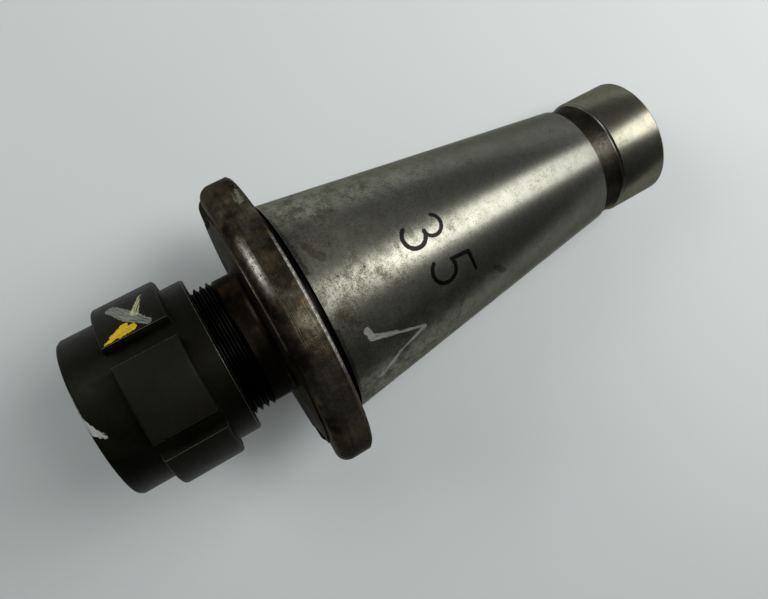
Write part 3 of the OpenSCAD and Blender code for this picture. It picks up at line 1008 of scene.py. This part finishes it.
@dataclass(frozen=True)
class BlackOxide:
    """The blackened nut, with paint daubed on one lug, pale metal on its edges, and painted shade that
    keeps the valleys between its lugs darker than the crowns.
    """

    name: str = "black_oxide"
    black: Colour = colour(0.0014, 0.0014, 0.001)
    grey: Colour = colour(0.0046, 0.0049, 0.003)
    bare: Colour = colour(0.32, 0.31, 0.25)
    red: Colour = colour(0.009, 0.004, 0.002)
    sheen: float = 0.09
    sheen_tint: Colour = colour(1.0, 1.0, 0.74)
    dull: float = 0.44
    paint_dull: float = 0.5
    # Radii over which the painted shade of the valleys gives way to the lighter lug crowns.
    valley_r: float = 25.5 * MM
    crown_r: float = 28.7 * MM
    yellow: Colour = colour(0.70, 0.47, 0.02)
    ochre: Colour = colour(0.42, 0.26, 0.01)
    cream: Colour = colour(0.55, 0.56, 0.30)
    pale: Colour = colour(0.25, 0.27, 0.23)
    chalk: Colour = colour(0.50, 0.52, 0.50)

    def daubs(self) -> Sequence[Tuple[Colour, float, list[Stroke]]]:
        """The paint on the nut: a colour, how well it covers, and its strokes."""
        pale = [
            Stroke((-49.4, -33.2), (-45.6, -26.4), 1.7, 2.1, 1.2, 0.6),
            Stroke((-45.6, -26.4), (-41.2, -21.2), 2.1, 1.1, 1.4, 0.8),
        ]
        cream = [
            Stroke((-40.6, -33.4), (-43.6, -26.2), 0.5, 1.2, 1.2, 0.95),
            Stroke((-41.6, -31.6), (-44.2, -26.6), 0.3, 0.8, 1.0, 0.95),
        ]
        yellow = [
            Stroke((-53.9, -20.4), (-49.4, -21.9), 0.3, 1.25, 1.0, 0.3),
            Stroke((-51.6, -21.6), (-47.2, -23.6), 0.8, 1.0, 1.3, 0.3),
            Stroke((-49.4, -21.4), (-45.7, -21.9), 1.2, 1.3, 1.4, 0.35),
        ]
        ochre = [Stroke((-51.5, -20.9), (-46.6, -21.6), 0.3, 0.7, 1.0, 0.6)]
        chip = [
            Stroke((-67.3, -12.6), (-67.2, -4.4), 0.14, 0.2, 0.2, 0.0),
            Stroke((-67.2, -4.4), (-66.4, -0.4), 0.4, 1.1, 0.9, 0.3),
            Stroke((-66.4, -0.4), (-64.4, 2.2), 1.1, 0.6, 1.4, 0.55),
        ]
        return [
            (self.pale, 0.85, pale),
            (self.cream, 0.9, cream),
            (self.yellow, 1.0, yellow),
            (self.ochre, 0.7, ochre),
            (self.chalk, 0.9, chip),
        ]

    def make(self) -> bpy.types.Material:
        """Builds the material."""
        finish = Finish(self.name)
        bench = finish.bench
        broad = finish.patches(12 * MM, 0.5, 0.16)
        fine = finish.patches(1.6 * MM, 0.42, 0.14)
        lines = finish.lines(0.3 * MM, 12 * MM)
        wear = finish.wear(0.95)
        _, y, z = bench.split(finish.place)
        # Painted shade: the lug crowns get a touch of the bare colour, so the valleys between the lugs
        # stay darker.
        crown_painted_light = bench.step(bench.reach(y, z), self.valley_r, self.crown_r)
        layers = (
            (fine, 0.45, self.grey),
            (finish.patches(9 * MM, 0.3, 0.12), 0.22, self.red),
            (finish.patches(2.4 * MM, 0.14, 0.03), 0.04, self.bare),
            (crown_painted_light, 0.014, self.bare),
            (wear, 0.85, self.bare),
        )
        tint = bench.coats(bench.blend(broad, self.black, self.grey), layers)
        rough = bench.plus(bench.times(fine, 0.08), self.dull)
        height = bench.plus(bench.times(lines, 0.4), bench.times(fine, 0.3))
        flat = finish.unrolled()
        for shade, strength, strokes in self.daubs():
            cover = bench.times(covered(bench, flat, strokes), strength)
            tint = bench.blend(cover, tint, shade)
            rough = bench.between(cover, rough, self.paint_dull)
            height = bench.plus(height, cover)
        finish.set(Base_Color=tint, Roughness=rough, Metallic=bench.times(wear, 0.8))
        finish.set(Specular_IOR_Level=self.sheen, Specular_Tint=self.sheen_tint)
        finish.bump(height, 0.04 * MM, 0.6)
        return finish.material


@dataclass(frozen=True)
class PlainSteel:
    """Steel of the inner pieces, with turning marks, oil stains and worn edges."""

    name: str
    light: Colour
    dark: Colour
    dull: float = 0.3
    spacing: float = 0.25 * MM

    def make(self) -> bpy.types.Material:
        """Builds the material."""
        finish = Finish(self.name)
        bench = finish.bench
        lines = finish.lines(self.spacing, 12 * MM)
        oil = finish.patches(7 * MM, 0.45, 0.14)
        specks = finish.specks(0.8 * MM, 0.2)
        tint = bench.coats(self.light, ((oil, 0.7, self.dark), (specks, 0.5, self.dark)))
        rough = bench.plus(bench.times(oil, 0.12), self.dull)
        finish.set(Base_Color=tint, Roughness=rough, Metallic=1.0)
        finish.bump(bench.minus(bench.times(lines, 0.4), specks), 0.015 * MM, 0.6)
        return finish.material


# Pieces


class Zone(Enum):
    """Material slots of the body."""

    GROUND = 0
    FLANGE = 1
    NECK = 2
    THREAD = 3
    GROOVE = 4
    BORE = 5


@dataclass
class ShankBody:
    """The body: pilot, cone, flange, neck, threaded nose and the bore through them."""

    steps: int = 192
    gauge_r: float = 34.925 * MM
    small_r: float = 20.08 * MM
    taper_len: float = 101.8 * MM
    relief_r: float = 19.0 * MM
    relief_end: float = 109.8 * MM
    relief_corner: float = 0.7 * MM
    pilot_r: float = 19.8 * MM
    shank_end: float = 126.8 * MM
    pilot_chamfer: float = 0.8 * MM
    gap_r: float = 33.325 * MM
    gap_corner: float = 0.4 * MM
    flange_back: float = -3.2 * MM
    flange_front: float = -14.3 * MM
    rim_front: float = -13.8 * MM
    flange_r: float = 47.1 * MM
    rim_chamfer: float = 1.0 * MM
    rim_round: float = 4.0 * MM
    front_r: float = 39.6 * MM
    slot_w: float = 25.7 * MM
    slot_floor: float = 35.3 * MM
    neck_r: float = 20.5 * MM
    neck_fillet: float = 2.2 * MM
    thread_start: float = -21.0 * MM
    crest_back: float = 0.4 * MM
    runout: float = 1.1 * MM
    thread_front: float = -49.5 * MM
    nose_front: float = -50.9 * MM
    nose_edge: float = 0.5 * MM
    seat_front_r: float = 14.945 * MM
    seat_back_r: float = 13.345 * MM
    seat_back: float = -18.9 * MM
    relief_bore_r: float = 12.995 * MM
    relief_bore_back: float = -8.9 * MM
    stop_r: float = 8.0 * MM
    stop_back: float = 31.1 * MM
    key_r: float = 5.0 * MM
    draw_r: float = 10.5 * MM
    draw_front: float = 66.8 * MM
    draw_point: float = 3.3 * MM
    draw_chamfer: float = 1.8 * MM
    edge: float = 0.14 * MM
    thread: ThreadForm = field(default_factory=ThreadForm)

    def outside(self) -> list[Point]:
        """Outline from the back end of the thread to the mouth of the draw bar's hole."""
        fillet, rounding, corner = self.neck_fillet, self.rim_round, self.relief_corner
        neck = arc((self.flange_front - fillet, self.neck_r + fillet), fillet, -90, 0, 8)
        rim = arc((self.rim_front + rounding, self.flange_r - rounding), rounding, 180, 90, 12)
        low = self.relief_r + corner
        relief = arc((self.taper_len + corner, low), corner, 180, 270, 4)
        relief += arc((self.relief_end - corner, low), corner, 270, 360, 4)
        bent = self.gap_corner * 0.3
        gap = [
            (self.flange_back, self.gap_r + self.gap_corner),
            (self.flange_back + bent, self.gap_r + bent),
            (self.flange_back + self.gap_corner, self.gap_r),
            (-self.gap_corner, self.gap_r),
            (-bent, self.gap_r + bent),
            (0.0, self.gap_r + self.gap_corner),
        ]
        return [
            (self.thread_start, self.neck_r),
            *neck,
            (self.flange_front, self.front_r),
            (self.rim_front, self.front_r),
            *rim,
            (self.flange_back - self.rim_chamfer, self.flange_r),
            (self.flange_back, self.flange_r - self.rim_chamfer),
            *gap,
            (0.0, self.gauge_r),
            (self.taper_len, self.small_r),
            *relief,
            (self.relief_end, self.pilot_r),
            (self.shank_end - self.pilot_chamfer, self.pilot_r),
            (self.shank_end, self.pilot_r - self.pilot_chamfer),
            (self.shank_end, self.draw_r + self.draw_chamfer),
        ]

    def inside(self) -> list[Point]:
        """Outline from the mouth of the draw bar's hole to the front end of the thread."""
        return [
            (self.shank_end, self.draw_r + self.draw_chamfer),
            (self.shank_end - self.draw_chamfer, self.draw_r),
            (self.draw_front, self.draw_r),
            (self.draw_front - self.draw_point, self.key_r),
            (self.stop_back, self.key_r),
            (self.stop_back, self.stop_r),
            (self.relief_bore_back, self.stop_r),
            (self.relief_bore_back, self.relief_bore_r),
            (self.seat_back, self.relief_bore_r),
            (self.seat_back, self.seat_back_r),
            (self.nose_front, self.seat_front_r),
            (self.nose_front, self.thread.root_r - self.nose_edge),
            (self.nose_front + self.nose_edge, self.thread.root_r),
            (self.thread_front, self.thread.root_r),
        ]

    def thread_limit(self, x: float, own: float) -> float:
        """Radius of the thread where its blank is chamfered in front and its grooves run out behind."""
        root = self.thread.root_r
        blank = min(self.thread.crest_r, root + (x - self.thread_front))
        blank = min(blank, self.neck_r + max(0.0, (self.thread_start - self.crest_back - x)))
        shallow = max(0.0, 1 - (self.thread_start - x) / self.runout)
        return min(blank, max(own, root + (self.neck_r - root) * shallow))

    def slots(self) -> bmesh.types.BMesh:
        """The two cutters of the driving slots."""
        tool = bmesh.new()
        over = 3 * MM
        depth = self.flange_r - self.slot_floor + over
        length = self.flange_back - self.flange_front + over
        middle_x = (self.flange_back + self.flange_front) / 2
        middle_y = self.slot_floor + depth / 2
        for side in (1, -1):
            made = bmesh.ops.create_cube(tool, size=1.0)["verts"]
            bmesh.ops.scale(tool, vec=(length, depth, self.slot_w), verts=made)
            bmesh.ops.translate(tool, vec=(middle_x, side * middle_y, 0.0), verts=made)
        return tool

    def mesh(self) -> bpy.types.Object:
        """Turns the body, cuts its thread and slots, and breaks its edges."""
        bm = bmesh.new()
        outline = self.outside() + self.inside()[1:]
        spin(bm, add_chain(bm, outline), self.steps, merge=True)
        front, back = self.thread_front, self.thread_start
        self.thread.cut(bm, front, front, back, self.thread_limit, self.steps)
        weld(bm)
        bm = combine(bm, self.slots(), "DIFFERENCE")
        break_edges(
            bm,
            self.edge,
            lambda e: not front < middle(e).x < back,
            lambda place: place.x < self.rim_front + self.edge
            and off_axis(place) < self.front_r + self.edge,
        )
        for face in bm.faces:
            face.material_index = self.zone(face.calc_center_median()).value
        return piece("body_turned", bm)

    def zone(self, place: Vector) -> Zone:
        """Finish of a face by its place."""
        radius = off_axis(place)
        pilot = self.pilot_r - self.pilot_chamfer - 0.1 * MM
        if place.x > self.relief_end - self.relief_corner and radius > pilot:
            return Zone.GROUND
        if 0 < place.x < self.taper_len + 0.1 * MM:
            line = self.gauge_r + (self.small_r - self.gauge_r) * place.x / self.taper_len
            return Zone.GROUND if radius > line - 0.4 * MM else Zone.BORE
        front, back = self.thread_front - 0.2 * MM, self.thread_start + 0.3 * MM
        if front < place.x < back and radius > 19 * MM:
            return Zone.THREAD
        if radius < 16 * MM or place.x > self.shank_end - 0.05 * MM and radius < 14 * MM:
            return Zone.BORE
        if place.x > self.taper_len - 0.1 * MM:
            return Zone.GROOVE
        return Zone.NECK if radius < self.neck_r + 1.2 * MM else Zone.FLANGE

    def finishes(self) -> Sequence[Union[GroundSteel, BrownedSteel, PlainSteel]]:
        """Finishes of the zones, in the order of their slots."""
        # The neck between the flange and the nut is given a near-black brown, far darker than the
        # flange.
        neck = BrownedSteel(
            name="dark_neck", brown=colour(0.03, 0.023, 0.013), dark=colour(0.006, 0.005, 0.004),
            ochre=colour(0.07, 0.046, 0.018), bare=colour(0.2, 0.19, 0.16), spacing=0.7 * MM, dull=0.3,
            depth=0.02 * MM, pitted=0.2,
        )
        thread = BrownedSteel(
            name="thread_black", brown=colour(0.012, 0.012, 0.011), dark=colour(0.004, 0.004, 0.004),
            ochre=colour(0.02, 0.018, 0.014), bare=colour(0.16, 0.16, 0.15), spacing=0.2 * MM, dull=0.26,
            depth=0.01 * MM, pitted=0.1,
        )
        groove = BrownedSteel(
            name="groove_brown", brown=colour(0.06, 0.055, 0.042), dark=colour(0.018, 0.016, 0.012),
            ochre=colour(0.055, 0.042, 0.026), spacing=0.5 * MM, dull=0.3, depth=0.1 * MM, pitted=0.15,
            # Painted shade in the corner where the groove meets the pilot.
            painted_recess_shade=(self.relief_end - 0.75 * MM, self.relief_end + 0.05 * MM),
        )
        back = self.flange_back
        flange = BrownedSteel(
            patched=True,
            # Painted shade on the flange away from its upward side.
            painted_side_shade=0.9,
            wear=0.35,
            # Painted shade in the recess between the flange's back face and the cone.
            painted_recess_shade=(back + 0.35 * MM, 0.3 * MM),
            scribed=(-9.95 * MM, -9.45 * MM),
            # Painted highlights on the front rounding and the back chamfer, within set spans of angle.
            rubbed_highlights=(
                RubbedHighlight(self.rim_front + 1.2 * MM, self.rim_front + 3.4 * MM, 0.6 * MM, 0.85, -33, -17),
                RubbedHighlight(back - self.rim_chamfer, back - 0.2 * MM, 0.1 * MM, 0.9, -30, 16),
            ),
        )
        bore = PlainSteel("bore_steel", colour(0.22, 0.21, 0.18), colour(0.07, 0.06, 0.045), 0.4)
        return (GroundSteel(), flange, neck, thread, groove, bore)

    def build(self) -> bpy.types.Object:
        """Makes the body in place of its CAD node."""
        made = self.mesh()
        for finish in self.finishes():
            made.data.materials.append(finish.make())
        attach(made, "shank")
        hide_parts("shank_body")
        return made


@dataclass
class ClampingNut:
    """The black nut: two plain bands, six lugs, the chamber for its ring and its thread."""

    steps: int = 192
    front: float = -67.4 * MM
    back: float = -28.7 * MM
    band_r: float = 25.2 * MM
    front_chamfer: Point = (1.0 * MM, 0.6 * MM)
    back_chamfer: float = 0.6 * MM
    lip_back: float = -63.2 * MM
    lip_r: float = 17.0 * MM
    chamber_r: float = 21.7 * MM
    chamber_back: float = -54.6 * MM
    clip_front: float = -57.0 * MM
    clip_back: float = -55.8 * MM
    clip_r: float = 22.5 * MM
    bore_r: float = 21.35 * MM
    race_x: float = -62.5 * MM
    race_circle_r: float = 19.15 * MM
    race_r: float = 1.65 * MM
    lug_front: float = -55.4 * MM
    lug_back: float = -36.1 * MM
    lug_r: float = 28.8 * MM
    lug_root_r: float = 23.9 * MM
    lug_round: float = 1.1 * MM
    lug_count: int = 6
    lug_angle: float = 47.0
    lug_phase: float = -3.0
    lug_steps: int = 24
    plug_r: float = 2.0 * MM
    plug_angle: float = 207.0
    edge: float = 0.2 * MM
    thread: ThreadForm = ThreadForm(
        crest_r=20.123 * MM, root_r=21.35 * MM, crest_flat=0.28 * MM, root_flat=0.3 * MM
    )
    thread_phase: float = -52.5 * MM
    thread_front: float = -54.6 * MM + 0.1 * MM
    thread_back: float = -30.3 * MM

    def outline(self) -> list[Point]:
        """Outline from the back end of the thread round the outside to its front end."""
        race = arc((self.race_x, self.race_circle_r), self.race_r, 205, 65, 10)
        race = [p for p in race if p[0] < self.lip_back]
        return [
            (self.thread_back, self.bore_r),
            (self.back - self.back_chamfer, self.bore_r),
            (self.back, self.bore_r + self.back_chamfer),
            (self.back, self.band_r - self.back_chamfer),
            (self.back - self.back_chamfer, self.band_r),
            (self.front + self.front_chamfer[0], self.band_r),
            (self.front, self.band_r - self.front_chamfer[1]),
            (self.front, self.lip_r),
            (self.lip_back, self.lip_r),
            *sorted(race, key=lambda p: p[1]),
            (self.lip_back, self.chamber_r),
            (self.clip_front, self.chamber_r),
            (self.clip_front, self.clip_r),
            (self.clip_back, self.clip_r),
            (self.clip_back, self.chamber_r),
            (self.chamber_back, self.chamber_r),
            (self.chamber_back, self.bore_r),
            (self.thread_front, self.bore_r),
        ]

    def thread_limit(self, x: float, own: float) -> float:
        """Radius of the nut's thread, which sinks into the bore at both ends."""
        return max(own, self.bore_r - min(x - self.thread_front, self.thread_back - x))

    def lugs(self) -> bmesh.types.BMesh:
        """The six lugs as one tool."""
        tool = bmesh.new()
        rounding, top = self.lug_round, self.lug_r - self.lug_round
        outline = [
            (self.lug_back, self.lug_root_r),
            (self.lug_front, self.lug_root_r),
            *arc((self.lug_front + rounding, top), rounding, 180, 90, 6),
            *arc((self.lug_back - rounding, top), rounding, 90, 0, 6),
        ]
        turn = math.radians(self.lug_angle)
        for i in range(self.lug_count):
            lug = bmesh.new()
            verts = [lug.verts.new((x, 0.0, r)) for x, r in outline]
            face = lug.faces.new(verts)
            first = math.radians(self.lug_phase + i * 360 / self.lug_count) - turn / 2
            bmesh.ops.rotate(lug, cent=(0, 0, 0), matrix=Matrix.Rotation(first, 3, "X"), verts=verts)
            spin(lug, [face, *face.edges, *verts], self.lug_steps, angle=turn)
            bmesh.ops.recalc_face_normals(lug, faces=lug.faces)
            pour(lug, tool)
        return tool

    def plug_hole(self) -> bmesh.types.BMesh:
        """The cutter of the hole through which the balls are filled."""
        tool = bmesh.new()
        height = 8 * MM
        bmesh.ops.create_cone(
            tool, cap_ends=True, segments=48, radius1=self.plug_r, radius2=self.plug_r, depth=height,
            matrix=Matrix.Translation((self.race_x, 0, self.chamber_r + height / 2 - 1.2 * MM)),
        )
        turn = Matrix.Rotation(math.radians(self.plug_angle), 3, "X")
        bmesh.ops.rotate(tool, cent=(0, 0, 0), matrix=turn, verts=tool.verts)
        return tool

    def mesh(self) -> bpy.types.Object:
        """Turns the nut, adds its lugs and breaks its edges."""
        bm = bmesh.new()
        spin(bm, add_chain(bm, self.outline()), self.steps, merge=True)
        ends = (self.thread_front, self.thread_back)
        self.thread.cut(bm, self.thread_phase, *ends, self.thread_limit, self.steps)
        weld(bm)
        bm = combine(bm, self.lugs(), "UNION")
        bm = combine(bm, self.plug_hole(), "DIFFERENCE")
        break_edges(bm, self.edge, lambda e: off_axis(middle(e)) > self.bore_r + 0.2 * MM)
        return piece("nut_lugged", bm)

    def build(self) -> bpy.types.Object:
        """Makes the nut in place of its CAD node."""
        made = self.mesh()
        made.data.materials.append(BlackOxide().make())
        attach(made, "nut")
        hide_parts("clamping_nut")
        return made


@dataclass
class InnerPieces:
    """The pieces in the nut and the bore, which keep their CAD meshes."""

    nodes: dict

    def finishes(self) -> dict[str, PlainSteel]:
        """Finish of each node: the name of its steel, its two shades and its roughness."""
        rows = {
            "race_plug": ("plug_steel", (0.05, 0.05, 0.045), (0.02, 0.02, 0.018), 0.4),
            "circlip": ("clip_steel", (0.10, 0.10, 0.095), (0.04, 0.038, 0.03), 0.42),
            "pressure_ring": ("ring_steel", (0.36, 0.35, 0.32), (0.16, 0.14, 0.11), 0.28),
            "thrust_balls": ("ball_steel", (0.62, 0.61, 0.59), (0.42, 0.40, 0.36), 0.12),
            "spring_collet": ("collet_steel", (0.42, 0.41, 0.37), (0.17, 0.15, 0.12), 0.3),
            "stop_screw": ("screw_steel", (0.14, 0.135, 0.12), (0.05, 0.045, 0.04), 0.38),
        }
        return {
            node: PlainSteel(name, colour(*light), colour(*dark), dull)
            for node, (name, light, dark, dull) in rows.items()
        }

    def build(self) -> None:
        """Gives each node its finish."""
        for name, finish in self.finishes().items():
            material = finish.make()
            for slot in self.nodes[name].material_slots:
                slot.material = material
            log.info("%s: %s", name, finish.name)


# Stage


@dataclass(frozen=True)
class Studio:
    """Camera, lamps, world and the sheet that the chuck lies on."""

    lens: float = 33.87
    sensor: float = 36.0
    eye: Place = (-27.217 * MM, 23.507 * MM, 223.648 * MM)
    right: Place = (0.854497, -0.449148, 0.260967)
    up: Place = (0.470633, 0.882032, -0.022972)
    rim_contact: Point = (-4.2 * MM, -47.1 * MM)
    pilot_contact: Point = (126.0 * MM, -19.8 * MM)
    floor_side: float = 1.6
    aim: Place = (25 * MM, 0.0, 0.0)
    bright_side: Place = (0.30, 0.80, 0.52)
    world_levels: Point = (0.03, 0.16)

    def camera(self) -> None:
        """Sets the camera where the photograph was taken."""
        data = bpy.data.cameras.new("camera")
        data.lens = self.lens
        data.sensor_width = self.sensor
        data.clip_start = 0.01
        eye = bpy.data.objects.new("camera", data)
        right, up = Vector(self.right).normalized(), Vector(self.up).normalized()
        back = right.cross(up).normalized()
        turn = Matrix((right, up, back)).transposed().to_4x4()
        eye.matrix_world = Matrix.Translation(self.eye) @ turn
        bpy.context.scene.collection.objects.link(eye)
        bpy.context.scene.camera = eye

    def floor(self) -> None:
        """Lays the sheet under the flange's rim and the end of the pilot."""
        run = self.pilot_contact[0] - self.rim_contact[0]
        rise = self.pilot_contact[1] - self.rim_contact[1]
        slope = math.atan2(rise, run)
        bm = bmesh.new()
        bmesh.ops.create_grid(bm, x_segments=8, y_segments=8, size=self.floor_side / 2)
        bmesh.ops.rotate(bm, cent=(0, 0, 0), matrix=Matrix.Rotation(-slope, 3, "Y"), verts=bm.verts)
        place = (self.rim_contact[0], 0.0, self.rim_contact[1])
        bmesh.ops.translate(bm, vec=place, verts=bm.verts)
        sheet = piece("floor_sheet", bm)
        finish = Finish("pale_sheet")
        bench = finish.bench
        cloud = bench.noise(finish.place, 9.0, 2.0)
        grain = bench.noise(finish.place, 700.0, 3.0)
        tint = bench.blend(cloud, colour(0.73, 0.76, 0.755), colour(0.78, 0.81, 0.805))
        finish.set(Base_Color=tint, Roughness=0.85, Specular_IOR_Level=0.2)
        finish.bump(grain, 0.02 * MM, 0.3)
        clear = bench.add("ShaderNodeBsdfTransparent").outputs[0]
        behind = bench.add("ShaderNodeNewGeometry").outputs["Backfacing"]
        sides = {0: behind, 1: finish.shader.outputs[0], 2: clear}
        one_sided = bench.wire("ShaderNodeMixShader", sides)
        surface = finish.material.node_tree.nodes["Material Output"].inputs["Surface"]
        bench.feed(surface, one_sided.outputs[0])
        sheet.data.materials.append(finish.material)

    def lamp(self, name: str, place: Place, along: Place, size: Point, power: float) -> None:
        """Adds a soft rectangular lamp that points at the chuck.

        Args:
            name: Name of the lamp.
            place: Its place in metres.
            along: Direction of its long side.
            size: Its long and short side in metres.
            power: Its power in watts.
        """
        data = bpy.data.lights.new(name, "AREA")
        data.shape = "RECTANGLE"
        data.size, data.size_y = size
        data.energy = power
        made = bpy.data.objects.new(name, data)
        back = (Vector(place) - Vector(self.aim)).normalized()
        side = Vector(along)
        side = (side - back * side.dot(back)).normalized()
        turn = Matrix((side, back.cross(side), back)).transposed().to_4x4()
        made.matrix_world = Matrix.Translation(place) @ turn
        bpy.context.scene.collection.objects.link(made)

    def lamps(self) -> None:
        """Hangs the lamps and sets the world."""
        for row in (
            ("key", (0.42, 0.065, 0.45), (0.8, -0.03, -0.6), (0.70, 0.26), 3.15),
            ("side", (-0.44, 0.50, 0.38), (0.4, 0.2, 0.8), (0.45, 0.30), 1.6),
            ("ceiling", (0.10, 0.08, 0.95), (1.0, 0.0, 0.0), (0.5, 0.4), 0.7),
        ):
            self.lamp(*row)
        world = bpy.data.worlds.new("studio")
        world.use_nodes = True
        back = world.node_tree.nodes["Background"]
        bench = Bench(world.node_tree)
        heading = bench.add("ShaderNodeTexCoord").outputs["Generated"]
        towards = bench.dot(heading, self.bright_side)
        level = bench.between(bench.step(towards, -0.7, 0.8), *self.world_levels)
        back.inputs["Color"].default_value = colour(0.95, 1.0, 1.0)
        bench.feed(back.inputs["Strength"], level)
        bpy.context.scene.world = world

    def build(self) -> None:
        """Sets up the whole stage."""
        self.camera()
        self.floor()
        self.lamps()
        bpy.context.scene.view_settings.view_transform = "Standard"


def main() -> None:
    """Builds the chuck over its frame, piece by piece."""
    logging.basicConfig(level=logging.INFO, format="%(message)s")
    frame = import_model()
    Studio().build()
    log.info("stage: camera, floor and lamps are set")
    body = ShankBody(flange_r=min(ShankBody.flange_r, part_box("shank_body")[1][2])).build()
    log.info("%s: %d faces", body.name, len(body.data.polygons))
    nut = ClampingNut().build()
    log.info("%s: %d faces", nut.name, len(nut.data.polygons))
    InnerPieces(frame["nodes"]).build()


if __name__ == "__main__":
    main()
